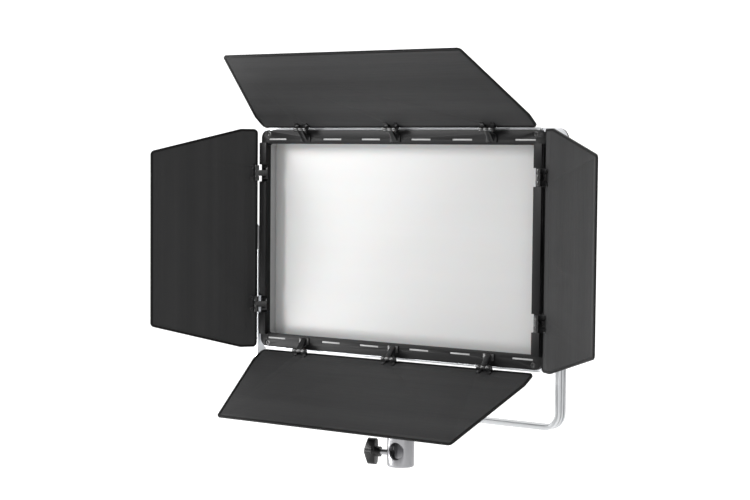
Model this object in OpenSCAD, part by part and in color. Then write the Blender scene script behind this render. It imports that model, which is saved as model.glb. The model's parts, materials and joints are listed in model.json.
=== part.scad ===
// LED panel light with four barn doors, held in a U-shaped yoke on a stand receiver.
// Millimetres. The origin is at the mouth of the stand socket, on its axis.
// Z is up, and the light shines along -Y. The panel tilts about the X axis at pivot_h.

/* [Front frame] */
// Width of the front frame
frame_w = 370; // [300:1:450]
// Height of the front frame
frame_h = 240; // [200:1:290]
// Thickness of the front frame
frame_t = 4; // [3:0.1:5]
// Outer corner radius of the front frame
frame_r = 9; // [7:0.5:11]
// Width of the upright bars of the frame
side_bar = 10; // [8.3:0.1:12]
// Width of the top and bottom bars of the frame
cross_bar = 15; // [12.5:0.1:18]
// How far the side rails stand in front of the frame
rail_h = 4.4; // [3.6:0.1:5.3]
// Length of a slot in the top and bottom bars
slot_l = 25; // [12:0.5:30]
// Height of a slot
slot_h = 2; // [1:0.1:3]
// Distance from the side edge of the frame to the centre of the outer slot
slot_edge = 23; // [18:0.5:28]

/* [Housing] */
// How far the housing stands out past the frame all round
housing_lip = 2.5; // [2:0.1:4]
// Depth of the housing, front to back
housing_d = 36; // [30:0.5:44]
// Wall of the housing
wall = 2; // [1.5:0.1:2.5]
// Depth from the housing's front edge to the diffuser
diffuser_recess = 11; // [8:0.5:14]
// Thickness of the diffuser
diffuser_t = 2; // [1.5:0.1:3]
// Thickness of the back panel
back_t = 2; // [1.5:0.1:3]

/* [Barn doors] */
// Length of the top and bottom doors, hinge edge to free edge; past half the frame's height they meet
cross_door_l = 123; // [80:1:148]
// Length of the side doors, hinge edge to free edge
side_door_l = 122; // [80:1:147]
// How much narrower than the frame a top or bottom door is, each side, at its hinge edge
cross_door_inset = 6.4; // [5:0.1:9]
// How far a side door reaches past the frame, each end, at its hinge edge
side_door_over = 1.2; // [0.5:0.1:2]
// How far the free edge of a top or bottom door is inset from the frame, each side
cross_tip_inset = 33.4; // [20:0.1:41]
// How far the free edge of a side door is inset from the frame, each end
side_tip_inset = 24.3; // [15:0.1:30]
// Length of the straight stretch of a door beside its hinge edge
door_square = 19.5; // [15:0.5:24]
// Corner radius of the doors
door_r = 5; // [3:0.5:6]
// Thickness of the door sheet
sheet_t = 1; // [0.8:0.1:1.2]
// Thickness of the folded rim of a door
rim_t = 1.8; // [1.5:0.1:2.2]
// Width of the folded rim of a door
rim_w = 2.6; // [1.5:0.1:3.2]
// Opening of the top door from flat over the diffuser, degrees
top_open = 126.6; // [0:0.1:180]
// Opening of the bottom door, degrees
bottom_open = 120.2; // [0:0.1:175]
// Opening of the left door, degrees
left_open = 121.4; // [0:0.1:155]
// Opening of the right door, degrees
right_open = 145.6; // [0:0.1:155]

/* [Hinges] */
// Length of a hinge along its pin
hinge_l = 17; // [14:0.5:20.5]
// Outer radius of a hinge knuckle
knuckle_r = 2.6; // [2.2:0.1:3]
// Radius of a hinge pin
pin_r = 1.25; // [1:0.05:1.5]
// How far the hinge pins stand in front of the frame
pin_stand = 8.6; // [7.2:0.1:10.4]
// Distance from the side edge of the frame to the outer top and bottom hinges
cross_hinge_edge = 63.3; // [52:0.1:76]
// Distance from the top and bottom edges of the frame to the side hinges
side_hinge_edge = 47.3; // [40:0.1:56]

/* [Yoke] */
// Width of the yoke bar, front to back
yoke_w = 14; // [12:0.5:17]
// Thickness of the yoke bar
yoke_t = 5; // [4.2:0.1:6]
// Outer radius of the yoke's two bends
bend_r = 18; // [15:0.5:22]
// Distance from the tilt axis down to the yoke's cross bar
yoke_reach = 176; // [168:1:211]
// Distance from the tilt axis forward to the front face of the frame
front_offset = 15; // [13:0.5:18]
// Thickness of the pivot blocks on the housing
block_t = 7.5; // [6.3:0.1:9]
// Radius of the pivot bolts
bolt_r = 4; // [3.4:0.1:4.8]
// Outer radius of the tilt knobs
tilt_knob_r = 15; // [12.5:0.5:16]

/* [Stand receiver] */
// Outer diameter of the receiver
receiver_d = 29; // [26:0.5:34]
// Length of the receiver
receiver_l = 57; // [48:0.5:68]
// Diameter of the stand socket
socket_d = 16.2; // [14:0.1:19.4]
// Depth of the stand socket
socket_depth = 42; // [35:0.5:50]
// Diameter of the cross hole in the receiver's front
window_d = 17.5; // [14.6:0.5:21]
// Height of the cross hole above the socket's mouth
window_z = 18; // [15:0.5:21]
// Height of the clamp screw above the socket's mouth
clamp_z = 14; // [12:0.1:17]
// How far the receiver is turned on the yoke, degrees
receiver_turn = 12; // [0:1:30]
// Radius of the clamp screw
screw_r = 3; // [2.5:0.1:3.6]

/* [Control box] */
// Width of the control box on the back
box_w = 240; // [216:1:280]
// Height of the control box
box_h = 130; // [126:1:156]
// Depth of the control box
box_d = 30; // [28:0.5:36]
// Wall of the control box
box_wall = 2.5; // [2.1:0.1:3]
// Radius of the three control knobs
dial_r = 9; // [7.5:0.5:10.5]
// Travel of a push button
button_travel = 0.8; // [0.6:0.1:1]

/* [Hidden] */
$fn = 48;
eps = 0.5;

// Heights and depths of the main pieces
pivot_h = receiver_l + yoke_t + yoke_reach;
front_y = -front_offset;
housing_front = front_y + frame_t;
housing_back = housing_front + housing_d;
box_front = housing_back + back_t;
box_back = box_front + box_d;
opening_w = frame_w - 2 * side_bar;
opening_h = frame_h - 2 * cross_bar;
opening_r = 3;
housing_w = frame_w + 2 * housing_lip;
housing_h = frame_h + 2 * housing_lip;
housing_r = frame_r + housing_lip;

// Light box, diffuser, board and heat sink, from front to back
liner_step = 1.3;
liner_wall = 2;
liner_seat = 2.7;
liner_w = opening_w + 2 * liner_step;
liner_h = opening_h + 2 * liner_step;
seat_w = liner_w + 2 * liner_seat;
seat_h = liner_h + 2 * liner_seat;
fit_gap = 0.2;
diffuser_y = housing_front + diffuser_recess;
slot_sink = 0.6;
slot_trim = 0.1;
board_y = housing_back - 8;
board_t = 1.6;
sink_t = 2.5;
sink_back = housing_back - 0.5;
chip = 3;
chip_t = 0.8;
chip_cols = 20;
chip_rows = 12;

// Screw posts in the housing's corners
post_r = 3.8;
post_x = housing_w / 2 - 13;
post_z = housing_h / 2 - 7;
post_hole = 1.25;
post_depth = 12;

// Hinges and doors. Closed, the top and bottom doors share a level and the side doors lie over them.
pin_y = front_y - pin_stand;
level_gap = 0.6;
cross_drop = knuckle_r + rim_t / 2 + 1.8;
side_drop = cross_drop + rim_t + level_gap;
cross_pin = frame_h / 2 + 0.6;
side_pin = frame_w / 2 - 0.5;
cross_lead = 3.2;
side_lead = 3.3;
fixed_l = 6.4;
joint_gap = 0.15;
pin_running = 0.05;
plate_t = 0.8;
plate_l = 8.4;
base_w = 13;
base_t = 1.2;
arm_lip = 2.5;
rivet_r = 0.9;
rivet_head = 0.4;
rivet_at = 6.8;
ear_w = 2;
lug_clear = 1.2;
swing_clear = 0.6;
arm_drop = 1.7;
rail_clear = hinge_l / 2 + 0.8;
cross_hinge_x = frame_w / 2 - cross_hinge_edge;
side_hinge_z = frame_h / 2 - side_hinge_edge;
cross_hinges = [-cross_hinge_x, 0, cross_hinge_x];
side_hinges = [-side_hinge_z, side_hinge_z];
cross_base = frame_w / 2 - cross_door_inset;
cross_tip = frame_w / 2 - cross_tip_inset;
side_base = frame_h / 2 + side_door_over;
side_tip = frame_h / 2 - side_tip_inset;
slot_centres = [cross_hinge_x * 0.27, cross_hinge_x * 0.7, frame_w / 2 - slot_edge];
slot_z = frame_h / 2 - 10;

// Yoke and pivots
washer_t = 0.9;
washer_gap = 0.1;
yoke_in = housing_w / 2 + block_t + washer_t + washer_gap;
yoke_out = yoke_in + yoke_t;
groove_w = 1.4;
groove_d = 0.8;
groove_at = yoke_w * 0.18;
leg_top = pivot_h + 11;
block_w = 2 * (front_offset - frame_t);
block_h = 28;
block_r = 4;
bolt_head_r = 7;
bolt_head_t = 3.8;
bolt_running = 0.05;
tilt_knob_l = 20;
bolt_in_knob = 14;
receiver_bolt_r = 4;

// Clamp screw and wing knob, measured along the screw from the receiver's axis
clamp_running = 0.1;
screw_tip = socket_d / 2 + 0.4;
knob_start = receiver_d / 2 + 9.5;
knob_hub_l = 17;
knob_hub_r = 5.5;
wing_r = 4.6;
wing_reach = 9.6;
wing_t = 9;

// Control box: places on its back face, x across and z up from the tilt axis
controls_x = -box_w / 4;
battery_x = box_w / 4;
display_w = 62;
display_h = 32;
display_z = 35;
dial_z = -4;
dial_pitch = 33;
dial_l = 13;
dial_gap = 0.5;
shaft_r = 3;
shaft_running = 0.04;
bush_r = 3.6;
button_w = 12;
button_h = 6;
button_z = -29;
button_pitch = 24;
button_out = 2;
button_fit = 0.2;
rocker_w = 20;
rocker_h = 11;
rocker_z = -49;
rocker_wall = 1.5;
rocker_d = 8;
control_board_y = box_back - 9;
plate_w = 90;
plate_h = 118;
plate_d = 11;
catch_travel = 3;
inlet_r = 7.5;
inlet_x = -95;
data_x = [-55, -30];
data_w = 15;
data_h = 13;
socket_y = box_front + box_d / 2;

// ---- shared shapes ----

module round_rect(w, h, r) {
    square([w - 2 * r, h], center = true);
    square([w, h - 2 * r], center = true);
    for (x = [-1, 1], z = [-1, 1])
        translate([x * (w / 2 - r), z * (h / 2 - r)]) circle(r);
}

// Extrudes a shape drawn in x and z about the tilt axis, from depth y0 to y1
module slab(y0, y1) {
    translate([0, y1, pivot_h]) rotate([90, 0, 0]) linear_extrude(y1 - y0) children();
}

// Extrudes a shape drawn in y and z about the tilt axis, from x0 to x1
module side_slab(x0, x1) {
    translate([x0, 0, pivot_h]) rotate([90, 0, 90]) linear_extrude(x1 - x0) children();
}

module x_rod(r, x0, x1) {
    translate([x0, 0, 0]) rotate([0, 90, 0]) cylinder(r = r, h = x1 - x0);
}

module y_rod(r, y0, y1) {
    translate([0, y0, 0]) rotate([-90, 0, 0]) cylinder(r = r, h = y1 - y0);
}

module block(low, high) {
    translate(low) cube(high - low);
}

module both_sides() {
    children();
    mirror([1, 0, 0]) children();
}

// ---- yoke and stand receiver ----

// Section of the yoke bar: thickness along x, width along y, grooves on the outer face
module bar_section() {
    soft = 0.7;
    half = yoke_w / 2;
    difference() {
        polygon([[0, -half + soft], [soft, -half], [yoke_t - soft, -half], [yoke_t, -half + soft],
            [yoke_t, half - soft], [yoke_t - soft, half], [soft, half], [0, half - soft]]);
        for (side = [-1, 1])
            translate([yoke_t - groove_d, side * groove_at - groove_w / 2])
                square([groove_d + eps, groove_w]);
    }
}

module yoke_leg() {
    bend_in = bend_r - yoke_t;
    bend_x = yoke_out - bend_r;
    bend_z = receiver_l + bend_r;
    difference() {
        union() {
            translate([yoke_in, 0, bend_z]) linear_extrude(leg_top - bend_z) bar_section();
            translate([bend_x, 0, bend_z]) rotate([90, 0, 0]) mirror([0, 1, 0])
                rotate_extrude(angle = 90, $fn = 96) translate([bend_in, 0]) bar_section();
        }
        translate([0, 0, pivot_h]) x_rod(bolt_r + bolt_running, yoke_in - eps, yoke_out + eps);
        for (side = [-1, 1])
            translate([yoke_in - eps, side * yoke_w / 2, leg_top]) rotate([45, 0, 0])
                cube([yoke_t + 2 * eps, 5, 5], center = false);
    }
}

module yoke() color("silver") {
    bend_x = yoke_out - bend_r;
    difference() {
        union() {
            both_sides() yoke_leg();
            translate([-bend_x, 0, receiver_l + yoke_t]) rotate([0, 90, 0])
                linear_extrude(2 * bend_x) bar_section();
        }
        translate([0, 0, receiver_l - eps]) cylinder(r = receiver_bolt_r + 0.2, h = yoke_t + 2 * eps);
    }
}

module receiver_body() {
    radius = receiver_d / 2;
    soft = 2;
    top_soft = 0.8;
    arc = [for (a = [-90:22.5:0]) [radius - soft + soft * cos(a), soft + soft * sin(a)]];
    rotate_extrude($fn = 96)
        polygon(concat([[0, 0]], arc,
            [[radius, receiver_l - top_soft], [radius - top_soft, receiver_l], [0, receiver_l]]));
}

module stand_receiver() color("silver") {
    radius = receiver_d / 2;
    bevel = 0.9;
    difference() {
        receiver_body();
        translate([0, 0, -eps]) cylinder(d = socket_d, h = socket_depth + eps);
        rotate([0, 0, receiver_turn]) translate([0, 0, window_z]) {
            y_rod(window_d / 2, -radius - eps, 0);
            translate([0, -radius + 2, 0]) rotate([90, 0, 0])
                cylinder(r1 = window_d / 2 - bevel, r2 = window_d / 2 + 2 * bevel, h = 3);
        }
        on_clamp_axis() x_rod(screw_r + clamp_running, -radius - eps, 0);
        translate([0, 0, socket_depth - eps])
            cylinder(r = receiver_bolt_r, h = receiver_l - socket_depth + 2 * eps);
    }
}

module receiver_bolt() color("dimgray") {
    bar_top = receiver_l + yoke_t;
    head_r = 6.5;
    head_h = 5;
    difference() {
        union() {
            translate([0, 0, socket_depth + 1]) cylinder(r = receiver_bolt_r, h = bar_top - socket_depth);
            translate([0, 0, bar_top]) cylinder(r = 8, h = 1.2);
            translate([0, 0, bar_top + 1.2]) cylinder(r = head_r, h = head_h);
        }
        translate([0, 0, bar_top + 1.2 + head_h - 3]) cylinder(r = 3.4, h = 4, $fn = 6);
    }
}

module on_clamp_axis() {
    rotate([0, 0, receiver_turn]) translate([0, 0, clamp_z]) children();
}

module clamp_screw() color("silver") {
    on_clamp_axis() {
        x_rod(screw_r, -knob_start - 10, -screw_tip - 0.6);
        translate([-screw_tip - 0.6, 0, 0]) rotate([0, 90, 0])
            cylinder(r1 = screw_r, r2 = screw_r - 0.6, h = 0.6);
    }
}

module wing_knob() color("black") {
    on_clamp_axis() difference() {
        union() {
            x_rod(knob_hub_r, -knob_start - knob_hub_l, -knob_start);
            translate([-knob_start - 3, 0, 0]) rotate([0, -90, 0]) cylinder(r1 = 4.5, r2 = 7, h = 5);
            for (side = [-1, 1]) hull() {
                translate([0, 0, side * 3])
                    x_rod(5.5, -knob_start - knob_hub_l + 1, -knob_start - 5, $fn = 32);
                translate([0, 0, side * wing_reach])
                    x_rod(wing_r, -knob_start - knob_hub_l + 3, -knob_start - knob_hub_l + 3 + wing_t, $fn = 32);
            }
        }
        x_rod(screw_r + shaft_running, -knob_start - 10.1, -knob_start + eps);
    }
}

// ---- tilt pivots ----

module pivot_blocks() color("black") {
    both_sides() difference() {
        side_slab(housing_w / 2, housing_w / 2 + block_t) round_rect(block_w, block_h, block_r);
        translate([0, 0, pivot_h]) x_rod(bolt_r, housing_w / 2 - eps, housing_w / 2 + block_t + eps);
    }
}

module pivot_bolts() color("dimgray") {
    inner = housing_w / 2 - wall;
    both_sides() translate([0, 0, pivot_h]) {
        x_rod(bolt_head_r, inner - bolt_head_t, inner);
        x_rod(bolt_r, inner, yoke_out + bolt_in_knob);
    }
}

module friction_washers() color("dimgray") {
    washer_x = housing_w / 2 + block_t;
    both_sides() translate([0, 0, pivot_h]) difference() {
        x_rod(10, washer_x, washer_x + washer_t);
        x_rod(bolt_r, washer_x - eps, washer_x + washer_t + eps);
    }
}

module tilt_knob() {
    start = yoke_out + washer_gap;
    lobes = 6;
    flute_r = 5;
    collar_l = 5;
    translate([0, 0, pivot_h]) difference() {
        union() {
            x_rod(9, start, start + collar_l);
            x_rod(tilt_knob_r, start + collar_l, start + tilt_knob_l - 2);
            translate([start + tilt_knob_l - 2, 0, 0]) rotate([0, 90, 0])
                cylinder(r1 = tilt_knob_r, r2 = tilt_knob_r - 2, h = 2);
        }
        for (i = [0:lobes - 1])
            rotate([i * 360 / lobes + 30, 0, 0]) translate([0, 0, tilt_knob_r + flute_r * 0.62])
                x_rod(flute_r, start + collar_l - eps, start + tilt_knob_l + eps);
        x_rod(bolt_r + bolt_running, start - eps, yoke_out + bolt_in_knob + eps);
    }
}

module tilt_knob_right() color("black") tilt_knob();
module tilt_knob_left() color("black") mirror([1, 0, 0]) tilt_knob();

// ---- housing, frame and light engine ----

module at_posts() {
    for (x = [-1, 1], z = [-1, 1]) translate([x * post_x, 0, pivot_h + z * post_z]) children();
}

module housing() color("gainsboro") {
    inner_r = housing_r - wall;
    web = 4;
    difference() {
        union() {
            difference() {
                slab(housing_front, housing_back) round_rect(housing_w, housing_h, housing_r);
                slab(housing_front - eps, housing_back + eps)
                    round_rect(housing_w - 2 * wall, housing_h - 2 * wall, inner_r);
            }
            at_posts() y_rod(post_r, housing_front, housing_back);
            for (x = [-1, 1], z = [-1, 1])
                slab(housing_front, housing_back)
                    translate([x * post_x, z * (post_z + housing_h / 2 - wall / 2) / 2])
                        square([web, housing_h / 2 - wall / 2 - post_z], center = true);
        }
        at_posts() {
            y_rod(post_hole, housing_front - eps, housing_front + post_depth);
            y_rod(post_hole, housing_back - post_depth, housing_back + eps);
        }
        both_sides() translate([0, 0, pivot_h])
            x_rod(bolt_r, housing_w / 2 - wall - eps, housing_w / 2 + eps);
    }
}

// The gap in a side rail at each hinge
module rail_gaps() {
    for (side = [-1, 1], z = side_hinges)
        block([side * side_pin - cross_bar, front_y - rail_h - eps, pivot_h + z - rail_clear],
            [side * side_pin + cross_bar, front_y, pivot_h + z + rail_clear]);
}

module slot_shapes(trim) {
    for (x = slot_centres, side = [-1, 1], z = [-1, 1])
        translate([side * x, z * slot_z]) square([slot_l - 2 * trim, slot_h - 2 * trim], center = true);
}

module front_frame() color("#2b2b2d") {
    rail_x = frame_w / 2 - 0.6;
    rail_z = opening_h / 2 + 1.2;
    difference() {
        union() {
            slab(front_y, housing_front) round_rect(frame_w, frame_h, frame_r);
            both_sides() slab(front_y - rail_h, front_y)
                translate([opening_w / 2, -rail_z]) square([rail_x - opening_w / 2, 2 * rail_z]);
        }
        slab(front_y - rail_h - eps, housing_front + eps) round_rect(opening_w, opening_h, opening_r);
        slab(front_y - eps, housing_front + eps) slot_shapes(0);
        rail_gaps();
        at_posts() {
            y_rod(1.6, front_y - eps, housing_front + eps);
            y_rod(3, front_y - eps, front_y + 1.6);
        }
    }
}

module cross_head_screw(head_r, head_h, shank_r, length) {
    difference() {
        union() {
            y_rod(head_r, -head_h, 0);
            y_rod(shank_r, 0, length);
        }
        for (turn = [0, 90])
            rotate([0, turn, 0])
                block([-head_r * 0.6, -head_h - eps, -0.35], [head_r * 0.6, -head_h * 0.4, 0.35]);
    }
}

module frame_screws() color("black") {
    at_posts() translate([0, front_y + 1.6, 0]) cross_head_screw(2.9, 1.3, post_hole, frame_t + 6);
}

module light_box() color("white") {
    flange_t = 1.5;
    difference() {
        union() {
            slab(housing_front, board_y)
                round_rect(seat_w + 2 * liner_wall, seat_h + 2 * liner_wall, opening_r + 4);
            slab(front_y + slot_sink, housing_front + flange_t) slot_shapes(slot_trim);
            slab(housing_front, housing_front + flange_t)
                round_rect(housing_w - 2 * wall - 2 * fit_gap, housing_h - 2 * wall - 2 * fit_gap, housing_r - wall);
        }
        slab(housing_front - eps, board_y + eps) round_rect(liner_w, liner_h, opening_r + liner_step);
        slab(diffuser_y, board_y + eps) round_rect(seat_w, seat_h, opening_r + liner_step);
        at_posts() y_rod(post_r + fit_gap, housing_front - eps, board_y + eps);
        for (x = [-1, 1], z = [-1, 1])
            slab(housing_front - eps, housing_front + flange_t + eps)
                translate([x * post_x, z * (post_z + 5)]) square([5, 10], center = true);
    }
}

module diffuser() color("#f2f2f0") {
    slab(diffuser_y, diffuser_y + diffuser_t)
        round_rect(seat_w - 2 * fit_gap, seat_h - 2 * fit_gap, opening_r + liner_step);
}

module led_board() color("#e9eef0") {
    slab(board_y, board_y + board_t) round_rect(seat_w + 2, seat_h + 2, 4);
}

module led_chips() color("#f5e27a") {
    pitch_x = (seat_w - 14) / chip_cols;
    pitch_z = (seat_h - 14) / chip_rows;
    for (i = [0:chip_cols - 1], j = [0:chip_rows - 1])
        translate([(i + 0.5 - chip_cols / 2) * pitch_x, board_y - chip_t / 2,
                pivot_h + (j + 0.5 - chip_rows / 2) * pitch_z])
            cube([chip, chip_t, chip], center = true);
}

module heat_sink() color("silver") {
    fins = 26;
    fin_t = 1.4;
    base_y = board_y + board_t;
    slab(base_y, base_y + sink_t) round_rect(seat_w + 2, seat_h + 2, 4);
    for (i = [0:fins - 1])
        slab(base_y + sink_t - 0.1, sink_back)
            translate([(i + 0.5 - fins / 2) * (seat_w - 10) / fins, 0])
                square([fin_t, seat_h - 20], center = true);
}

// Columns of vent slots above and below the control box
module vent_slots() {
    pitch = 12;
    count = floor((housing_w - 50) / pitch);
    band = (housing_h - box_h) / 2 - 18;
    for (i = [0:count - 1], z = [-1, 1])
        translate([(i + 0.5 - count / 2) * pitch, z * (box_h / 2 + 6 + band / 2)])
            square([3.5, band], center = true);
}

module back_panel() color("#3a3b3d") {
    difference() {
        slab(housing_back, box_front) round_rect(housing_w, housing_h, housing_r);
        slab(housing_back - eps, box_front + eps) {
            vent_slots();
            square([60, 30], center = true);
        }
        at_posts() y_rod(1.6, housing_back - eps, box_front + eps);
        at_box_posts() y_rod(post_hole, housing_back - eps, box_front + eps);
    }
}

module back_screws() color("silver") {
    at_posts() translate([0, box_front, 0]) mirror([0, 1, 0])
        cross_head_screw(2.9, 1.6, post_hole, back_t + 8);
}

// ---- hinges and barn doors ----
// Each is drawn as a top hinge: pin along x through the origin, frame towards -z, back towards +y.

module on_edge(turn, pin_dist, open = 0) {
    translate([0, pin_y, pivot_h]) rotate([0, turn, 0]) translate([0, 0, pin_dist])
        rotate([-open, 0, 0]) children();
}

// The fixed arm: a boss on the pin, a ramp down to the frame's face, and a foot on each side.
// Its back stays inside swing_r, the circle that the door's edge swings round, until it is below that edge.
module frame_hinge(reach) {
    foot_end = -reach + 7;
    swing_r = norm([cross_drop - rim_t / 2, cross_lead]) - swing_clear;
    arm_top = -cross_lead - arm_drop;
    difference() {
        union() {
            x_rod(knuckle_r, -fixed_l / 2, fixed_l / 2);
            translate([-fixed_l / 2, 0, 0]) rotate([90, 0, 90]) linear_extrude(fixed_l)
                polygon([[-1.5, -knuckle_r * 0.8], [pin_stand - base_t, -reach], [pin_stand, -reach],
                    [pin_stand, arm_top - 1], [swing_r, arm_top], swing_r * [sin(40), -cos(40)],
                    [1.6, knuckle_r * 0.75], [0, 0]]);
            block([-base_w / 2, pin_stand - base_t, -reach], [base_w / 2, pin_stand, foot_end]);
        }
        x_rod(pin_r, -fixed_l, fixed_l);
    }
}

// The two ears on a door, each with a flange riveted to the sheet
module door_hinge(drop, lead) {
    sheet_face = -drop + sheet_t / 2;
    ear_in = fixed_l / 2 + joint_gap;
    ear_out = hinge_l / 2;
    for (side = [-1, 1]) scale([side, 1, 1]) difference() {
        union() {
            x_rod(knuckle_r, ear_in, ear_out);
            block([ear_in, sheet_face, -ear_w], [ear_out, 0, ear_w]);
            block([ear_in + lug_clear, sheet_face, lead - plate_l], [ear_out, sheet_face + plate_t, ear_w]);
        }
        x_rod(pin_r + pin_running, 0, hinge_l);
        translate([rivet_x(), 0, lead - rivet_at])
            y_rod(rivet_r, sheet_face - eps, sheet_face + plate_t + eps);
    }
}

function rivet_x() = (fixed_l / 2 + joint_gap + lug_clear + hinge_l / 2) / 2;

module door_outline(base, tip, length, inset) {
    lean = atan((base - tip) / (length - door_square));
    knee = door_square - door_r * tan(lean / 2);
    tip_x = tip - door_r * (1 / cos(lean) - tan(lean));
    hull() for (side = [-1, 1]) {
        translate([side * (base - door_r), -door_r]) circle(door_r - inset, $fn = 32);
        translate([side * (base - door_r), -knee]) circle(door_r - inset, $fn = 32);
        translate([side * tip_x, -length + door_r]) circle(door_r - inset, $fn = 32);
    }
}

module door_layer(drop, lead, thick) {
    translate([0, -drop + thick / 2, lead]) rotate([90, 0, 0]) linear_extrude(thick) children();
}

module rivet_places(places, lead) {
    for (x = places, side = [-1, 1]) translate([x + side * rivet_x(), 0, lead - rivet_at]) children();
}

module door(base, tip, length, drop, lead, places) {
    ear_out = hinge_l / 2 + joint_gap;
    difference() {
        union() {
            door_layer(drop, lead, sheet_t) door_outline(base, tip, length, 0.5);
            door_layer(drop, lead, rim_t) difference() {
                door_outline(base, tip, length, 0);
                door_outline(base, tip, length, rim_w);
            }
        }
        rivet_places(places, lead) y_rod(rivet_r, -drop - rim_t, -drop + rim_t);
        // A flat in the rim for the ears
        for (x = places) translate([x, 0, 0])
            block([-ear_out, -drop + sheet_t / 2, -ear_w - 0.2], [ear_out, -drop + rim_t, lead + eps]);
    }
}

module door_rivets(drop, lead, places) {
    rivet_places(places, lead) {
        y_rod(rivet_r, -drop - sheet_t / 2, -drop + sheet_t / 2 + plate_t);
        y_rod(rivet_r + 0.7, -drop - sheet_t / 2 - rivet_head, -drop - sheet_t / 2);
    }
}

module door_hinges(drop, lead, places) {
    for (x = places) translate([x, 0, 0]) door_hinge(drop, lead);
}

module frame_hinges(turn, pin_dist, reach, places) {
    on_edge(turn, pin_dist) for (x = places) translate([x, 0, 0]) frame_hinge(reach);
}

module cross_frame_hinges(turn)
    frame_hinges(turn, cross_pin, cross_pin - opening_h / 2 - arm_lip, cross_hinges);
module side_frame_hinges(turn) frame_hinges(turn, side_pin, side_pin - opening_w / 2 - 0.5, side_hinges);

module top_frame_hinges() color("#151515") cross_frame_hinges(0);
module bottom_frame_hinges() color("#151515") cross_frame_hinges(180);
module left_frame_hinges() color("#151515") side_frame_hinges(270);
module right_frame_hinges() color("#151515") side_frame_hinges(90);

module hinge_pins() color("dimgray") {
    half = hinge_l / 2 - 0.1;
    for (turn = [0, 180]) on_edge(turn, cross_pin)
        for (x = cross_hinges) translate([x, 0, 0]) x_rod(pin_r, -half, half);
    for (turn = [90, 270]) on_edge(turn, side_pin)
        for (x = side_hinges) translate([x, 0, 0]) x_rod(pin_r, -half, half);
}

module top_place() on_edge(0, cross_pin, top_open) children();
module bottom_place() on_edge(180, cross_pin, bottom_open) children();
module left_place() on_edge(270, side_pin, left_open) children();
module right_place() on_edge(90, side_pin, right_open) children();

module top_door() color("#2e2e30") top_place()
    door(cross_base, cross_tip, cross_door_l, cross_drop, cross_lead, cross_hinges);
module top_door_hinges() color("#151515") top_place() door_hinges(cross_drop, cross_lead, cross_hinges);
module top_door_rivets() color("dimgray") top_place() door_rivets(cross_drop, cross_lead, cross_hinges);

module bottom_door() color("#2e2e30") bottom_place()
    door(cross_base, cross_tip, cross_door_l, cross_drop, cross_lead, cross_hinges);
module bottom_door_hinges() color("#151515") bottom_place() door_hinges(cross_drop, cross_lead, cross_hinges);
module bottom_door_rivets() color("dimgray") bottom_place() door_rivets(cross_drop, cross_lead, cross_hinges);

module left_door() color("#2e2e30") left_place()
    door(side_base, side_tip, side_door_l, side_drop, side_lead, side_hinges);
module left_door_hinges() color("#151515") left_place() door_hinges(side_drop, side_lead, side_hinges);
module left_door_rivets() color("dimgray") left_place() door_rivets(side_drop, side_lead, side_hinges);

module right_door() color("#2e2e30") right_place()
    door(side_base, side_tip, side_door_l, side_drop, side_lead, side_hinges);
module right_door_hinges() color("#151515") right_place() door_hinges(side_drop, side_lead, side_hinges);
module right_door_rivets() color("dimgray") right_place() door_rivets(side_drop, side_lead, side_hinges);

// ---- control box on the back ----

module at_box_posts() {
    for (x = [-1, 1], z = [-1, 1])
        translate([x * (box_w / 2 - box_wall - 4), 0, pivot_h + z * (box_h / 2 - box_wall - 4)]) children();
}

module at_dials() {
    for (i = [-1:1]) translate([controls_x + i * dial_pitch, 0, pivot_h + dial_z]) children();
}

module at_button(i) {
    translate([controls_x + (i - 1.5) * button_pitch, 0, pivot_h + button_z]) children();
}

module at_dial(i) {
    translate([controls_x + i * dial_pitch, 0, pivot_h + dial_z]) children();
}

module control_box() color("#26272a") {
    inner_back = box_back - box_wall;
    difference() {
        union() {
            difference() {
                slab(box_front, box_back) round_rect(box_w, box_h, 8);
                slab(box_front - eps, inner_back)
                    round_rect(box_w - 2 * box_wall, box_h - 2 * box_wall, 8 - box_wall);
            }
            at_box_posts() y_rod(4.2, box_front, inner_back + eps);
        }
        at_box_posts() y_rod(post_hole, box_front - eps, box_front + post_depth);
        slab(inner_back - eps, box_back + eps) {
            translate([controls_x, display_z]) square([display_w, display_h], center = true);
            translate([controls_x, rocker_z]) square([rocker_w, rocker_h], center = true);
            translate([battery_x, 0]) square([30, 20], center = true);
            for (i = [0:3])
                translate([controls_x + (i - 1.5) * button_pitch, button_z])
                    square([button_w + 2 * button_fit, button_h + 2 * button_fit], center = true);
        }
        at_dials() y_rod(bush_r, inner_back - eps, box_back + eps);
        translate([inlet_x, socket_y, pivot_h - box_h / 2 - eps])
            cylinder(r = inlet_r + 1.5, h = box_wall + 2 * eps);
        for (x = data_x) translate([x, socket_y, pivot_h - box_h / 2])
            cube([data_w, data_h, 4 * box_wall], center = true);
    }
}

module box_screws() color("silver") {
    at_box_posts() translate([0, housing_back - 0.1, 0]) difference() {
        y_rod(post_hole, 0, back_t + 8);
        block([-1, -eps, -0.3], [1, 0.8, 0.3]);
    }
}

module driver_board() color("darkgreen") {
    y = box_front + 6;
    slab(y, y + 1.6) translate([battery_x - 4, 0]) square([90, 96], center = true);
    slab(y + 1.6, y + 13) translate([battery_x - 22, 22]) square([24, 28], center = true);
    slab(y + 1.6, y + 10) translate([battery_x + 18, -20]) square([26, 20], center = true);
    for (x = [-30, -14]) translate([battery_x + x, y + 1.6, pivot_h - 24]) y_rod(5, 0, 13);
}

module control_board() color("darkgreen") {
    slab(control_board_y, control_board_y + 1.6) translate([controls_x, 6]) square([102, 84], center = true);
}

module display_module() color("#101418") {
    slab(control_board_y + 1.6, box_back - box_wall)
        translate([controls_x, display_z]) square([display_w + 6, display_h - 6], center = true);
}

module display_window() color("#20303a") {
    slab(box_back - box_wall, box_back - 0.6)
        translate([controls_x, display_z]) square([display_w, display_h], center = true);
}

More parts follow.
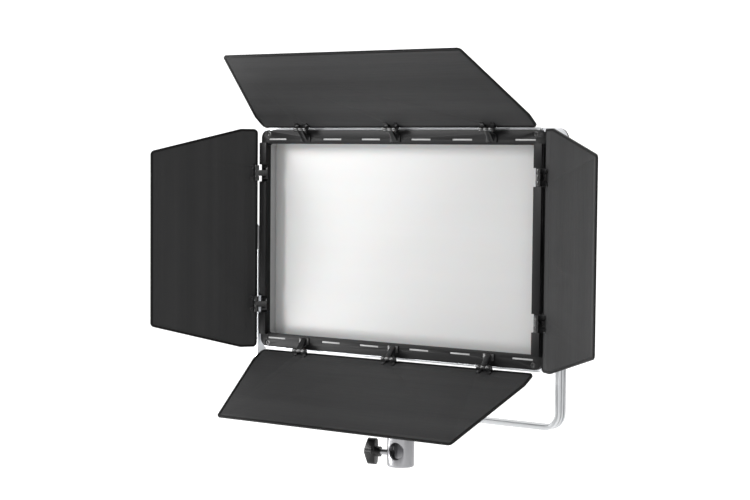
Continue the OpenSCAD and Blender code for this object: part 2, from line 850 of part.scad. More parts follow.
module encoders() color("dimgray") {
    at_dials() {
        block([-6, control_board_y + 1.6, -6], [6, box_back - box_wall, 6]);
        y_rod(bush_r, box_back - box_wall, box_back);
        y_rod(shaft_r, box_back, box_back + dial_l - 2.5);
    }
}

module dial() {
    start = box_back + dial_gap;
    flutes = 18;
    difference() {
        union() {
            y_rod(dial_r, start, start + dial_l - 1.2);
            translate([0, start + dial_l - 1.2, 0]) rotate([-90, 0, 0])
                cylinder(r1 = dial_r, r2 = dial_r - 1.2, h = 1.2);
        }
        for (i = [0:flutes - 1])
            rotate([0, i * 360 / flutes, 0]) translate([0, 0, dial_r + 0.35])
                y_rod(0.8, start + 2, start + dial_l + eps, $fn = 16);
        y_rod(shaft_r + shaft_running, start - eps, box_back + dial_l - 2.3);
        block([-0.5, start + dial_l - 0.6, 2], [0.5, start + dial_l + eps, dial_r - 2]);
    }
}

module brightness_dial() color("black") at_dial(-1) dial();
module colour_dial() color("black") at_dial(0) dial();
module channel_dial() color("black") at_dial(1) dial();

module button_cap() {
    inner = box_back - box_wall;
    block([-button_w / 2, inner - 1, -button_h / 2], [button_w / 2, box_back + button_out, button_h / 2]);
    block([-button_w / 2 - 1, inner - 1.4, -button_h / 2 - 1], [button_w / 2 + 1, inner - 0.1, button_h / 2 + 1]);
}

module button_menu() color("dimgray") at_button(0) button_cap();
module button_back() color("dimgray") at_button(1) button_cap();
module button_up() color("dimgray") at_button(2) button_cap();
module button_down() color("dimgray") at_button(3) button_cap();

module button_switches() color("silver") {
    cap_back = box_back - box_wall - 1.4;
    for (i = [0:3]) at_button(i)
        block([-3, control_board_y + 1.6, -3], [3, cap_back - button_travel - 0.2, 3]);
}

module rocker_frame() color("black") {
    lip_w = 1.5;
    difference() {
        union() {
            slab(box_back - rocker_d, box_back) translate([controls_x, rocker_z])
                square([rocker_w, rocker_h], center = true);
            slab(box_back, box_back + 1) translate([controls_x, rocker_z])
                square([rocker_w + 2 * lip_w, rocker_h + 2 * lip_w], center = true);
        }
        slab(box_back - rocker_d + 1.5, box_back + 1 + eps) translate([controls_x, rocker_z])
            square([rocker_w - 2 * rocker_wall, rocker_h - 2 * rocker_wall], center = true);
        translate([controls_x, box_back - 2.5, pivot_h + rocker_z - rocker_h / 2 - eps])
            cylinder(r = 1.25, h = rocker_h + 2 * eps);
    }
}

// The rocker turns about an upright pin, so its two ends go in and out
module power_rocker() color("#141414") {
    half_w = rocker_w / 2 - rocker_wall - 0.9;
    half_h = rocker_h / 2 - rocker_wall - 0.3;
    lean = 9;
    translate([controls_x, box_back - 2.5, pivot_h + rocker_z]) rotate([0, 0, lean]) {
        translate([0, 0, -half_h]) linear_extrude(2 * half_h)
            polygon([[-half_w, -2], [half_w, -2], [half_w, 4.2], [0, 3], [-half_w, 4.2]]);
        translate([0, 0, -rocker_h / 2]) cylinder(r = 1.2, h = rocker_h);
    }
}

module power_inlet() color("black") {
    face_z = pivot_h - box_h / 2;
    translate([inlet_x, socket_y, 0]) {
        difference() {
            union() {
                translate([0, 0, face_z]) cylinder(r = inlet_r + 1.5, h = 16);
                translate([0, 0, face_z - 1.5]) cylinder(r = inlet_r + 3.5, h = 1.5);
            }
            translate([0, 0, face_z - 1.5 - eps]) cylinder(r = inlet_r, h = 14 + eps);
        }
        for (i = [0:3]) rotate([0, 0, 45 + 90 * i]) translate([3.6, 0, face_z + 5]) cylinder(r = 0.8, h = 8);
    }
}

module data_sockets() color("#1d1d1d") {
    face_z = pivot_h - box_h / 2;
    for (x = data_x) translate([x, socket_y, face_z]) difference() {
        block([-data_w / 2, -data_h / 2, -0.3], [data_w / 2, data_h / 2, 17]);
        block([-data_w / 2 + 1.5, -data_h / 2 + 1.5, -0.3 - eps], [data_w / 2 - 1.5, data_h / 2 - 1.5, 14]);
    }
}

// ---- battery plate ----

module battery_plate() color("#1b1b1d") {
    groove_top = 50;
    catch_w = 24;
    difference() {
        slab(box_back, box_back + plate_d) translate([battery_x, 0]) round_rect(plate_w, plate_h, 4);
        // Wedge-shaped seat, open at the top, which the battery slides down into
        slab(box_back + 5, box_back + plate_d + eps) translate([battery_x, 0])
            polygon([[-14, -28], [14, -28], [24, plate_h / 2 + eps], [-24, plate_h / 2 + eps]]);
        // Guide slots beside the seat
        for (side = [-1, 1])
            slab(box_back + 6, box_back + plate_d + eps)
                translate([battery_x + side * 34, 0]) square([5, groove_top * 2], center = true);
        // Pocket for the release catch at the side
        slab(box_back + 3.5, box_back + plate_d + eps)
            translate([battery_x + plate_w / 2 - 4, -46]) square([catch_w, 10], center = true);
        // Pocket for the contact block
        slab(box_back + 1, box_back + 6) translate([battery_x, -18]) square([20, 12], center = true);
    }
}

module battery_contacts() color("goldenrod") {
    slab(box_back + 1, box_back + 5) translate([battery_x, -18]) square([20, 12], center = true);
    for (i = [-1.5:1:1.5])
        slab(box_back + 5, box_back + 8) translate([battery_x + i * 4.4, -18])
            square([1.6, 6], center = true);
}

module battery_catch() color("#8c2a22") {
    slab(box_back + 3.8, box_back + plate_d - 0.5)
        translate([battery_x + plate_w / 2 - 4 - 12 + catch_travel + 0.5 + 10, -46])
            square([20, 9.4], center = true);
}

yoke();
stand_receiver();
receiver_bolt();
clamp_screw();
wing_knob();
pivot_blocks();
pivot_bolts();
friction_washers();
tilt_knob_left();
tilt_knob_right();
housing();
front_frame();
frame_screws();
light_box();
diffuser();
led_board();
led_chips();
heat_sink();
back_panel();
back_screws();
top_frame_hinges();
bottom_frame_hinges();
left_frame_hinges();
right_frame_hinges();
hinge_pins();
top_door();
top_door_hinges();
top_door_rivets();
bottom_door();
bottom_door_hinges();
bottom_door_rivets();
left_door();
left_door_hinges();
left_door_rivets();
right_door();
right_door_hinges();
right_door_rivets();
control_box();
box_screws();
driver_board();
control_board();
display_module();
display_window();
encoders();
brightness_dial();
colour_dial();
channel_dial();
button_menu();
button_back();
button_up();
button_down();
button_switches();
rocker_frame();
power_rocker();
power_inlet();
data_sockets();
battery_plate();
battery_contacts();
battery_catch();
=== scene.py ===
# %% [markdown]
# # An LED panel light with barn doors
# The light is a shallow metal box with an opal sheet in its window, four hinged doors that shape the beam,
# a U-shaped yoke that it tilts in and a receiver that drops onto a lighting stand.
# Everything that moves already sits in the right place in the loaded frame, one object for each piece.
# These lessons add what the frame lacks: rounded edges, fine ribs, finishes, light and a camera.

# %% Load the frame
import bpy
import bmesh
import json
from math import radians, sin, cos, pi
from mathutils import Matrix, Vector


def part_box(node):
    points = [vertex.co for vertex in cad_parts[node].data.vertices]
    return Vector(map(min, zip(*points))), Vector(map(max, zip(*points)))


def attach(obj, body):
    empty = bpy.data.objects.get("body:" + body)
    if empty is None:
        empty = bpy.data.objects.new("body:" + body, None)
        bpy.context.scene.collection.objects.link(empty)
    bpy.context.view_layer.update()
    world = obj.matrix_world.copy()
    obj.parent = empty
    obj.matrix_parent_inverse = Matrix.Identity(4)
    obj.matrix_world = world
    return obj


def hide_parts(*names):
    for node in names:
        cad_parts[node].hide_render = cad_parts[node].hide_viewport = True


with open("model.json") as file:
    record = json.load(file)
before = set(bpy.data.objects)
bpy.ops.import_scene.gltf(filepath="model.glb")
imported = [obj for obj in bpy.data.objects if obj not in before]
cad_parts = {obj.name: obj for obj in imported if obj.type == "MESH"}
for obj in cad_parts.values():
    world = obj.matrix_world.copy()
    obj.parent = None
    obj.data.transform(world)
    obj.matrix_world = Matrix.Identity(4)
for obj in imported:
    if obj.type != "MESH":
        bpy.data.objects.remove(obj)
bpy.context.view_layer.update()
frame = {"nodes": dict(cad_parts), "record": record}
body_of_node = {n: b for b, nodes in frame["record"]["behaviour"]["bodies"].items() for n in nodes}
slot_of_node = {r["node"]: r["material_slot"] for r in frame["record"]["subparts"]}

# %% [markdown]
# ## The camera
# A long lens from the front right keeps the panel's edges almost parallel.
# A camera in Blender looks along its own -Z, so its matrix is built from three directions:
# right, up and back.
# A small shift slides the picture up without tilting the camera, which keeps upright edges upright.

# %% Camera
turn, rise, roll = radians(37.38), radians(3.85), radians(0.51)
back = Vector((sin(turn) * cos(rise), -cos(turn) * cos(rise), sin(rise)))
level = Vector((cos(turn), sin(turn), 0))
upright = level.cross(-back)
right = level * cos(roll) + upright * sin(roll)
up = upright * cos(roll) - level * sin(roll)
target, distance = Vector((-0.02517, -0.015, 0.19627)), 2.01407
eye = target + back * distance
camera = bpy.data.objects.new("camera", bpy.data.cameras.new("camera"))
camera.matrix_world = Matrix((right, up, back)).transposed().to_4x4()
camera.location = eye
camera.data.lens = 90.9
camera.data.sensor_width = 36
camera.data.shift_y = 0.0434
bpy.context.scene.collection.objects.link(camera)
bpy.context.scene.camera = camera
print("camera at", [round(v, 3) for v in eye])

# %% [markdown]
# ## The studio
# Product lights are shown on a white sweep: a floor that curves up into a wall, so no horizon shows.
# The sweep is one strip of faces, made from a side profile and pushed out to both sides.

# %% Sweep
def new_object(name, mesh):
    """Links a mesh to the scene as an object at the origin."""
    obj = bpy.data.objects.new(name, mesh)
    bpy.context.scene.collection.objects.link(obj)
    return obj


def mesh_from(bm, name):
    """Turns a bmesh into a named mesh and frees it."""
    mesh = bpy.data.meshes.new(name)
    bm.to_mesh(mesh)
    bm.free()
    return mesh


def sweep(floor_z, front, depth, radius, height, half_width, steps=12):
    """A floor that starts in front, runs back by depth, bends up in steps and becomes a wall."""
    away = Vector((-back.x, -back.y, 0)).normalized()
    profile = [(-front, floor_z), (depth - radius, floor_z)]
    profile += [(depth - radius + radius * sin(a), floor_z + radius - radius * cos(a))
                for a in (pi / 2 * i / steps for i in range(1, steps + 1))]
    profile.append((depth, floor_z + height))
    bm = bmesh.new()
    rows = [[bm.verts.new(away * d + level * s + Vector((0, 0, z))) for s in (-half_width, half_width)]
            for d, z in profile]
    for a, b in zip(rows, rows[1:]):
        bm.faces.new((a[0], a[1], b[1], b[0])).smooth = True
    return new_object("sweep", mesh_from(bm, "sweep"))


floor = sweep(floor_z=-0.42, front=4.0, depth=4.5, radius=1.6, height=6, half_width=8)
print("sweep made of", len(floor.data.polygons), "faces")

# %% [markdown]
# ## Soft light
# Dark anodised metal shows little but what it reflects, so its tone comes from large, soft lamps.
# One wide lamp stands front left and one hangs above. Two closer ones on the left, one low and one high,
# light the bottom face of the top door and the top face of the bottom door, brightest at their left ends.
# A pale, even world fills the shadows and stands behind everything as the white of the studio.

# %% Lamps and world
def lamp(name, place, aim, width, height, power):
    """A rectangular area lamp that points at aim."""
    data = bpy.data.lights.new(name, "AREA")
    data.shape = "RECTANGLE"
    data.size, data.size_y, data.energy = width, height, power
    obj = bpy.data.objects.new(name, data)
    obj.location = place
    obj.rotation_euler = (Vector(aim) - Vector(place)).to_track_quat("-Z", "Y").to_euler()
    bpy.context.scene.collection.objects.link(obj)
    return obj


centre = (0, 0, 0.24)
lamp("key_lamp", (-1.7, -1.9, 1.3), centre, 1.4, 1.4, 30)
lamp("fill_lamp", (1.9, -1.5, 0.5), centre, 1.0, 1.6, 9)
lamp("top_lamp", (0.0, 0.3, 2.2), centre, 2.0, 1.4, 20)
lamp("low_left_lamp", (-0.5, -0.35, 0.0), (-0.18, -0.07, 0.42), 0.25, 0.25, 3)
lamp("high_left_lamp", (-0.6, -0.5, 0.6), (-0.15, -0.07, 0.1), 0.3, 0.3, 5)
light_given, white_seen = 0.62, 1.1
world = bpy.data.worlds.new("studio")
world.use_nodes = True
sky = world.node_tree
sky.nodes["Background"].inputs["Color"].default_value = (1, 1, 1, 1)
strength = sky.nodes.new("ShaderNodeMapRange")
seen = sky.nodes.new("ShaderNodeLightPath")
sky.links.new(seen.outputs["Is Camera Ray"], strength.inputs["Value"])
strength.inputs["To Min"].default_value = light_given
strength.inputs["To Max"].default_value = white_seen
sky.links.new(strength.outputs["Result"], sky.nodes["Background"].inputs["Strength"])
bpy.context.scene.view_settings.view_transform = "Standard"
bpy.context.scene.world = world

# %% [markdown]
# ## A recipe for finishes
# Paint, anodising and moulded plastic differ in gloss, in grain and in how even they are.
# One recipe covers them: a Principled shader, one noise for cloudy colour, and one for fine grain.
# The grain drives a little roughness and a shallow bump whose depth is given in millimetres.
# Stretching the grain along one axis turns it into the lines of brushed or drawn metal.
# All of it reads Object coordinates, which are metres here, so each size is the real one.

# %% Finish recipe
finishes = {}


def node_of(tree, kind, **sockets):
    """Adds a node and sets the named inputs."""
    n = tree.nodes.new(kind)
    for key, value in sockets.items():
        n.inputs[key.replace("_", " ")].default_value = value
    return n


def noise(tree, where, size, stretch, detail=4.0):
    """A noise whose blobs are size metres across, drawn out along the axes given by stretch."""
    mapping = node_of(tree, "ShaderNodeMapping", Scale=[1 / s for s in stretch])
    tree.links.new(where, mapping.inputs["Vector"])
    n = node_of(tree, "ShaderNodeTexNoise", Scale=1 / size, Detail=detail, Roughness=0.6)
    tree.links.new(mapping.outputs["Vector"], n.inputs["Vector"])
    return n.outputs["Fac"]


def spread(tree, value, low, high):
    """Maps a noise's middle range to low..high."""
    n = tree.nodes.new("ShaderNodeMapRange")
    for key, v in (("From Min", 0.3), ("From Max", 0.7), ("To Min", low), ("To Max", high)):
        n.inputs[key].default_value = v
    tree.links.new(value, n.inputs["Value"])
    return n.outputs["Result"]


def finish(name, color, metal=0.0, rough=0.5, uneven=0.06, cloud=0.1, grain=0.0006, depth=0.02,
           stretch=(1, 1, 1), **sockets):
    """Builds a finish: grain in metres, depth in millimetres, cloud the share the colour varies by."""
    mat = bpy.data.materials.new(name)
    mat.use_nodes = True
    tree = mat.node_tree
    shader = tree.nodes["Principled BSDF"]
    shader.inputs["Metallic"].default_value = metal
    for key, value in sockets.items():
        shader.inputs[key.replace("_", " ")].default_value = value
    where = tree.nodes.new("ShaderNodeTexCoord").outputs["Object"]
    mix = tree.nodes.new("ShaderNodeMix")
    mix.data_type = "RGBA"
    mix.inputs[6].default_value = [c * (1 - cloud) for c in color] + [1]
    mix.inputs[7].default_value = [min(1, c * (1 + cloud)) for c in color] + [1]
    tree.links.new(spread(tree, noise(tree, where, 0.03, stretch, 3.0), 0, 1), mix.inputs[0])
    tree.links.new(mix.outputs[2], shader.inputs["Base Color"])
    fine = noise(tree, where, grain, stretch)
    tree.links.new(spread(tree, fine, rough - uneven, rough + uneven), shader.inputs["Roughness"])
    bump = node_of(tree, "ShaderNodeBump", Strength=1.0, Distance=depth / 1000)
    tree.links.new(fine, bump.inputs["Height"])
    tree.links.new(bump.outputs["Normal"], shader.inputs["Normal"])
    mat.diffuse_color = list(color) + [1]
    finishes[name] = mat
    return mat


white_paper = finish("white_paper", (0.95, 0.95, 0.95), rough=0.9, cloud=0.01, grain=0.01, depth=0,
                     Emission_Color=(1, 1, 1, 1), Emission_Strength=0.4)
floor.data.materials.append(white_paper)
print("recipe tried on the sweep:", white_paper.name)

# %% [markdown]
# ## Metals
# The doors and front frame are black anodised aluminium, a satin black that turns grey towards a lamp.
# Drawn lines run along each door's hinge, so the top and bottom doors need lines along X
# and the side doors along Z.
# The housing and yoke are plain satin aluminium, and the hinges and screws are blacked steel.

# %% Metals
along_x, along_z = (60, 1, 1), (1, 1, 60)
finish("yoke_silver", (0.50, 0.51, 0.52), metal=1.0, rough=0.36, grain=0.0004, depth=0.004, cloud=0.04,
       stretch=along_x)
finish("satin_steel", (0.27, 0.27, 0.28), metal=1.0, rough=0.33, grain=0.0005, depth=0.004, cloud=0.04)
finish("dark_steel", (0.22, 0.22, 0.23), metal=1.0, rough=0.38, grain=0.0005, depth=0.004)
finish("black_steel", (0.004, 0.004, 0.0042), rough=0.3, grain=0.0005, depth=0.006)
finish("housing_silver", (0.66, 0.67, 0.69), metal=1.0, rough=0.34, grain=0.0003, depth=0.003, cloud=0.03,
       stretch=along_x)
finish("black_frame", (0.003, 0.003, 0.0032), rough=0.46, grain=0.0004, depth=0.008, Specular_IOR_Level=0.16)
finish("door_black", (0.022, 0.022, 0.0224), rough=0.5, grain=0.0007, depth=0.012, stretch=along_x,
       cloud=0.2, Specular_IOR_Level=0.2)
finish("side_door_black", (0.022, 0.022, 0.0224), rough=0.5, grain=0.0007, depth=0.012, stretch=along_z,
       cloud=0.2, Specular_IOR_Level=0.2)
finish("rim_black", (0.002, 0.002, 0.002), rough=0.42, grain=0.0004, depth=0.006, Specular_IOR_Level=0.15)
finish("bare_aluminium", (0.68, 0.68, 0.69), metal=1.0, rough=0.4, grain=0.0005, depth=0.01)
finish("back_paint", (0.045, 0.045, 0.048), rough=0.55, grain=0.0005, depth=0.05, cloud=0.06)
finish("contact_brass", (0.80, 0.60, 0.26), metal=1.0, rough=0.25, grain=0.0004, depth=0.003)
print(len(finishes), "finishes so far")

# %% [markdown]
# ## Plastics, rubber and glass
# Moulded parts carry a spark-eroded grain about half a millimetre across, which the bump gives.
# The opal sheet lets some light sink in, so it gets a little subsurface scattering.

# %% Plastics, rubber and glass
finish("black_knob", (0.004, 0.004, 0.0042), rough=0.34, grain=0.0006, depth=0.03, Specular_IOR_Level=0.3)
finish("black_plastic", (0.026, 0.026, 0.028), rough=0.5, grain=0.0005, depth=0.04)
finish("washer_rubber", (0.03, 0.03, 0.03), rough=0.7, grain=0.0004, depth=0.03)
finish("white_liner", (0.30, 0.30, 0.30), rough=0.45, grain=0.0008, depth=0.01, cloud=0.02)
finish("diffuser_white", (0.44, 0.44, 0.438), rough=0.5, grain=0.0009, depth=0.01, cloud=0.012,
       stretch=along_x, Subsurface_Weight=0.15, Subsurface_Scale=0.004)
finish("board_white", (0.82, 0.84, 0.83), rough=0.4, grain=0.001, depth=0.005)
finish("led_yellow", (0.88, 0.72, 0.18), rough=0.35, grain=0.0003, depth=0.01)
finish("board_green", (0.03, 0.16, 0.07), rough=0.4, grain=0.001, depth=0.01)
finish("screen_black", (0.008, 0.009, 0.011), rough=0.2, grain=0.001, depth=0.001, uneven=0.02)
finish("screen_glass", (0.02, 0.024, 0.028), rough=0.09, grain=0.002, depth=0.0005, uneven=0.02,
       Coat_Weight=0.6)
finish("dial_black", (0.022, 0.022, 0.023), rough=0.62, grain=0.0004, depth=0.03)
finish("button_grey", (0.14, 0.14, 0.145), rough=0.6, grain=0.0004, depth=0.03)
finish("rocker_black", (0.012, 0.012, 0.013), rough=0.2, grain=0.0006, depth=0.004)
finish("catch_red", (0.40, 0.03, 0.025), rough=0.45, grain=0.0005, depth=0.02)
finish("mark_white", (0.75, 0.75, 0.74), rough=0.6, grain=0.0003, depth=0.004)
print(len(finishes), "finishes in all")

# %% [markdown]
# ## Rounding sharp edges
# No real edge is perfectly sharp: a thin bright line along it is what tells the eye that a thing is solid.
# The frame's pieces are loose triangles, so a copy is merged first and its flat faces are joined.
# The Bevel modifier then rounds only the edges that turn by more than 30 degrees.
# The result stands in for the plain piece, which is hidden.

# %% Rounded copies
weld_distance = 2e-6
flat_within = radians(0.3)
sharp_from = radians(30)


def plain_mesh(obj):
    """The object with its modifiers applied, as a new mesh."""
    bpy.context.view_layer.update()
    return bpy.data.meshes.new_from_object(obj.evaluated_get(bpy.context.evaluated_depsgraph_get()))


def merged_copy(node):
    """A copy of a frame piece's mesh with its triangles merged into whole faces."""
    bm = bmesh.new()
    bm.from_mesh(frame["nodes"][node].data)
    for layer in list(bm.loops.layers.uv):
        bm.loops.layers.uv.remove(layer)
    bmesh.ops.remove_doubles(bm, verts=bm.verts, dist=weld_distance)
    bmesh.ops.dissolve_limit(bm, angle_limit=flat_within, verts=bm.verts, edges=bm.edges)
    return mesh_from(bm, node)


def rounded(node, width, material, segments=2):
    """Stands in for a frame piece with a copy whose edges are rounded by width, in metres."""
    work = new_object(node + "_work", merged_copy(node))
    work.data.polygons.foreach_set("use_smooth", [True] * len(work.data.polygons))
    bevel = work.modifiers.new("bevel", "BEVEL")
    bevel.width, bevel.segments = width, segments
    bevel.limit_method, bevel.angle_limit = "ANGLE", sharp_from
    bevel.use_clamp_overlap = True
    bevel.harden_normals = True
    mesh = plain_mesh(work)
    bpy.data.objects.remove(work)
    mesh.materials.clear()
    mesh.materials.append(finishes[material])
    piece = new_object(node + "_rounded", mesh)
    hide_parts(node)
    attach(piece, body_of_node[node])
    return piece


widths = {"yoke": 0.0005, "stand_receiver": 0.0004, "receiver_bolt": 0.0004, "wing_knob": 0.0008,
          "pivot_blocks": 0.0008, "friction_washers": 0.0001, "tilt_knob_left": 0.0009,
          "tilt_knob_right": 0.0009, "housing": 0.0005,
          "front_frame": 0.0004, "frame_screws": 0.0002, "light_box": 0.0004, "diffuser": 0.0003,
          "back_panel": 0.0004, "back_screws": 0.0003,
          "top_frame_hinges": 0.0003, "bottom_frame_hinges": 0.0003,
          "left_frame_hinges": 0.0003, "right_frame_hinges": 0.0003, "top_door_hinges": 0.00025,
          "bottom_door_hinges": 0.00025, "left_door_hinges": 0.00025, "right_door_hinges": 0.00025,
          "control_box": 0.001, "brightness_dial": 0.0003, "colour_dial": 0.0003, "channel_dial": 0.0003,
          "button_menu": 0.0006, "button_back": 0.0006, "button_up": 0.0006, "button_down": 0.0006,
          "rocker_frame": 0.0004, "power_rocker": 0.0004, "power_inlet": 0.0004, "data_sockets": 0.0003,
          "battery_plate": 0.0007, "battery_catch": 0.0005}
for node, width in widths.items():
    rounded(node, width, slot_of_node[node])
print(len(widths), "pieces rounded")

# %% [markdown]
# ## Where a door lies
# Every door was drawn as if it hung on a hinge pin at the origin, with its sheet pointing down.
# The same three moves put it on its edge of the frame:
# out to the pin, round to its side, and open by its angle.
# With that matrix, anything made in the door's own plane can be carried to its place,
# and a face's direction can be read in the door's own terms.

# %% Door places
pin_depth, tilt_height = -0.0236, 0.238
sheet, rim_width = 0.001, 0.0026
cross_door = dict(pin=0.1206, drop=0.0053, gap=-0.0032, half=0.1786, tip=0.1516, length=0.123,
                  anodised="door_black")
upright_door = dict(pin=0.1845, drop=0.0077, gap=-0.0033, half=0.1212, tip=0.0957, length=0.122,
                    anodised="side_door_black")
doors = {"top_door": dict(cross_door, side=0, opened=126.6),
         "bottom_door": dict(cross_door, side=180, opened=120.2),
         "left_door": dict(upright_door, side=270, opened=121.4),
         "right_door": dict(upright_door, side=90, opened=145.6)}


def door_matrix(d):
    """From a door's own plane to its place on the light."""
    return (Matrix.Translation((0, pin_depth, tilt_height)) @ Matrix.Rotation(radians(d["side"]), 4, "Y")
            @ Matrix.Translation((0, 0, d["pin"])) @ Matrix.Rotation(radians(-d["opened"]), 4, "X"))


for name, d in doors.items():
    print(name, "hinges at", [round(v, 4) for v in door_matrix(d).translation])

# %% [markdown]
# ## Door sheets
# Each door is a thin sheet with a blacker hem folded over all round.
# Rounding gives the hem its soft edge.
# A face belongs to the sheet when it faces straight out of the door's plane and lies at the sheet's level.
# Every other face belongs to the hem, so one loop can give each its finish.

# %% Door sheets and hems
hem_rounding = 0.0006
facing_out, level_slack = 0.99, 0.0002
for name, d in doors.items():
    door = rounded(name, hem_rounding, d["anodised"], segments=3)
    door.data.materials.append(finishes["rim_black"])
    inward = door_matrix(d).inverted()
    facing = inward.to_3x3()
    hem = 0
    for face in door.data.polygons:
        out = abs((facing @ face.normal).y)
        level_off = abs((inward @ face.center).y + d["drop"])
        if out < facing_out or level_off > sheet / 2 + level_slack:
            face.material_index = 1
            hem += 1
    print(name, len(door.data.polygons), "faces,", hem, "of them on the hem")

# %% [markdown]
# ## Ribs on the doors
# The sheets are stiffened and dulled by fine ribs, side by side from the hinge to the free edge.
# A rule decides each rib's length: full width beside the hinge, then shorter with distance,
# as the door narrows.
# That is work for Geometry Nodes: a line of points, one thin bar on each point, scaled by the rule.
# Realize Instances turns the copies into real faces, and Set Material gives them their finish.

# %% A small kit for node trees
def new_tree(name, numbers):
    """A geometry tree with one output and the named number inputs, as {name: default}."""
    tree = bpy.data.node_groups.new(name, "GeometryNodeTree")
    tree.interface.new_socket("Geometry", in_out="OUTPUT", socket_type="NodeSocketGeometry")
    for key, value in numbers.items():
        kind = "NodeSocketInt" if isinstance(value, int) else "NodeSocketFloat"
        tree.interface.new_socket(key, in_out="INPUT", socket_type=kind).default_value = value
    tree.interface.new_socket("Finish", in_out="INPUT", socket_type="NodeSocketMaterial")
    return tree, tree.nodes.new("NodeGroupInput"), tree.nodes.new("NodeGroupOutput")


def feed(tree, node, values):
    """Sets a node's inputs, in order, from sockets or numbers, and returns its first output."""
    for socket, value in zip(node.inputs, values):
        if isinstance(value, (int, float)):
            socket.default_value = value
        else:
            tree.links.new(value, socket)
    return node.outputs[0]


def math(tree, operation, a, b):
    """A Math node; a and b are sockets or numbers."""
    n = tree.nodes.new("ShaderNodeMath")
    n.operation = operation
    return feed(tree, n, (a, b))


def vector(tree, x, y, z):
    """A vector from sockets or numbers."""
    return feed(tree, tree.nodes.new("ShaderNodeCombineXYZ"), (x, y, z))


def end_tree(tree, geometry, start, end):
    """Realize Instances and Set Material, then out."""
    real = tree.nodes.new("GeometryNodeRealizeInstances")
    paint = tree.nodes.new("GeometryNodeSetMaterial")
    tree.links.new(geometry, real.inputs[0])
    tree.links.new(real.outputs[0], paint.inputs["Geometry"])
    tree.links.new(start.outputs["Finish"], paint.inputs["Material"])
    tree.links.new(paint.outputs[0], end.inputs[0])


def grown(name, tree, material, **numbers):
    """Runs a tree on an empty mesh and returns the result as a plain mesh."""
    seed = new_object(name + "_seed", bpy.data.meshes.new(name + "_seed"))
    modifier = seed.modifiers.new("grow", "NODES")
    modifier.node_group = tree
    for item in tree.interface.items_tree:
        if item.item_type == "SOCKET" and item.in_out == "INPUT":
            key = item.name.replace(" ", "_")
            if item.name == "Finish":
                modifier[item.identifier] = finishes[material]
            elif key in numbers:
                modifier[item.identifier] = numbers[key]
    mesh = plain_mesh(seed)
    bpy.data.objects.remove(seed)
    return mesh


print("node tree kit ready")

# %% The rib tree
rib_numbers = {"Count": 70, "Pitch": 0.0016, "Start": 0.012, "Half": 0.17, "Narrowing": 0.26,
               "Square": 0.0195, "Rib Width": 0.0009, "Rib Height": 0.0002, "Level": 0.0005, "Gap": 0.0035}
rib_tree, rib_in, rib_out = new_tree("door_ribs", rib_numbers)
given = rib_in.outputs
points = rib_tree.nodes.new("GeometryNodeMeshLine")
bar = rib_tree.nodes.new("GeometryNodeMeshCube")
place = rib_tree.nodes.new("GeometryNodeInstanceOnPoints")
where = rib_tree.nodes.new("GeometryNodeInputPosition")
split = rib_tree.nodes.new("ShaderNodeSeparateXYZ")
start = math(rib_tree, "MULTIPLY", math(rib_tree, "ADD", given["Start"], given["Gap"]), -1.0)
rib_tree.links.new(given["Count"], points.inputs["Count"])
rib_tree.links.new(vector(rib_tree, 0.0, given["Level"], start), points.inputs["Start Location"])
rib_tree.links.new(vector(rib_tree, 0.0, 0.0, math(rib_tree, "MULTIPLY", given["Pitch"], -1.0)),
                   points.inputs["Offset"])
rib_tree.links.new(where.outputs[0], split.inputs[0])
past = math(rib_tree, "SUBTRACT", math(rib_tree, "MULTIPLY", split.outputs["Z"], -1.0),
            math(rib_tree, "ADD", given["Square"], given["Gap"]))
half = math(rib_tree, "SUBTRACT", given["Half"],
            math(rib_tree, "MULTIPLY", math(rib_tree, "MAXIMUM", past, 0.0), given["Narrowing"]))
rib_tree.links.new(points.outputs[0], place.inputs["Points"])
rib_tree.links.new(bar.outputs[0], place.inputs["Instance"])
width = math(rib_tree, "MULTIPLY", half, 2.0)
rib_tree.links.new(vector(rib_tree, width, given["Rib Height"], given["Rib Width"]), place.inputs["Scale"])
end_tree(rib_tree, place.outputs[0], rib_in, rib_out)
print("rib tree has", len(rib_tree.nodes), "nodes")

# %% Ribs on both faces of each door
plain_end = 0.005
for name, d in doors.items():
    ribbed = d["length"] - rib_numbers["Start"] - plain_end
    bm = bmesh.new()
    for face in (-1, 1):
        mesh = grown(name, rib_tree, d["anodised"], Half=d["half"] - rim_width - hem_rounding,
                     Narrowing=(d["half"] - d["tip"]) / (d["length"] - rib_numbers["Square"]),
                     Count=int(ribbed / rib_numbers["Pitch"]),
                     Level=-d["drop"] + face * sheet / 2, Gap=d["gap"])
        bm.from_mesh(mesh)
    mesh = mesh_from(bm, name + "_ribs")
    mesh.transform(door_matrix(d))
    mesh.materials.clear()
    mesh.materials.append(finishes[d["anodised"]])
    ribs = new_object(name + "_ribs", mesh)
    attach(ribs, name)
    print(ribs.name, len(mesh.polygons), "faces")

# %% [markdown]
# ## Marks around the dials
# Each dial on the back has a ring of short marks to set it by.
# A circle of points gives their places, and each point's own normal turns its mark to the middle.

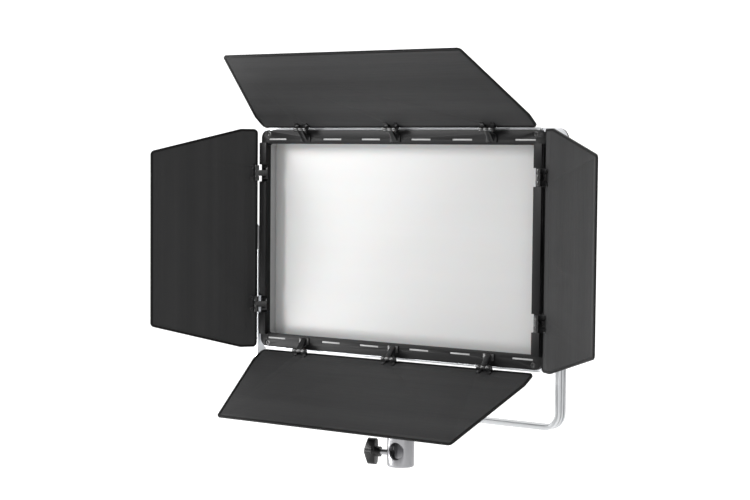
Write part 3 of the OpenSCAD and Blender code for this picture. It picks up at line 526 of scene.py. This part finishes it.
# %% The tick tree
tick_tree, tick_in, tick_out = new_tree("dial_marks", {"Count": 21, "Radius": 0.0125, "Mark Length": 0.002,
                                                       "Mark Width": 0.0005, "Mark Height": 0.00016})
given = tick_in.outputs
ring = tick_tree.nodes.new("GeometryNodeMeshCircle")
mark = tick_tree.nodes.new("GeometryNodeMeshCube")
place = tick_tree.nodes.new("GeometryNodeInstanceOnPoints")
where = tick_tree.nodes.new("GeometryNodeInputPosition")
align = tick_tree.nodes.new("FunctionNodeAlignRotationToVector")
align.axis = "X"
align.pivot_axis = "Z"
tick_tree.links.new(given["Count"], ring.inputs["Vertices"])
tick_tree.links.new(given["Radius"], ring.inputs["Radius"])
tick_tree.links.new(where.outputs[0], align.inputs["Vector"])
tick_tree.links.new(ring.outputs[0], place.inputs["Points"])
tick_tree.links.new(mark.outputs[0], place.inputs["Instance"])
tick_tree.links.new(align.outputs[0], place.inputs["Rotation"])
tick_tree.links.new(vector(tick_tree, given["Mark Length"], given["Mark Width"], given["Mark Height"]),
                    place.inputs["Scale"])
end_tree(tick_tree, place.outputs[0], tick_in, tick_out)

box_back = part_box("control_box")[1].y
bm = bmesh.new()
for dial in ("brightness_dial", "colour_dial", "channel_dial"):
    low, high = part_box(dial)
    middle = (low + high) / 2
    mesh = grown(dial, tick_tree, "mark_white")
    mesh.transform(Matrix.Translation((middle.x, box_back, middle.z)) @ Matrix.Rotation(radians(-90), 4, "X"))
    bm.from_mesh(mesh)
mesh = mesh_from(bm, "dial_marks")
mesh.materials.append(finishes["mark_white"])
marks = new_object("dial_marks", mesh)
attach(marks, "panel")
print("marks:", len(mesh.polygons), "faces")

# %% [markdown]
# ## The pieces that stay as they are
# Small or hidden pieces, such as pins, rivets, boards and chips, keep their plain shapes and get a finish.

# %% Finishes for the other pieces
plain = 0
for node, obj in frame["nodes"].items():
    if not obj.hide_render:
        obj.data.materials.clear()
        obj.data.materials.append(finishes[slot_of_node[node]])
        plain += 1
print(plain, "plain pieces finished")
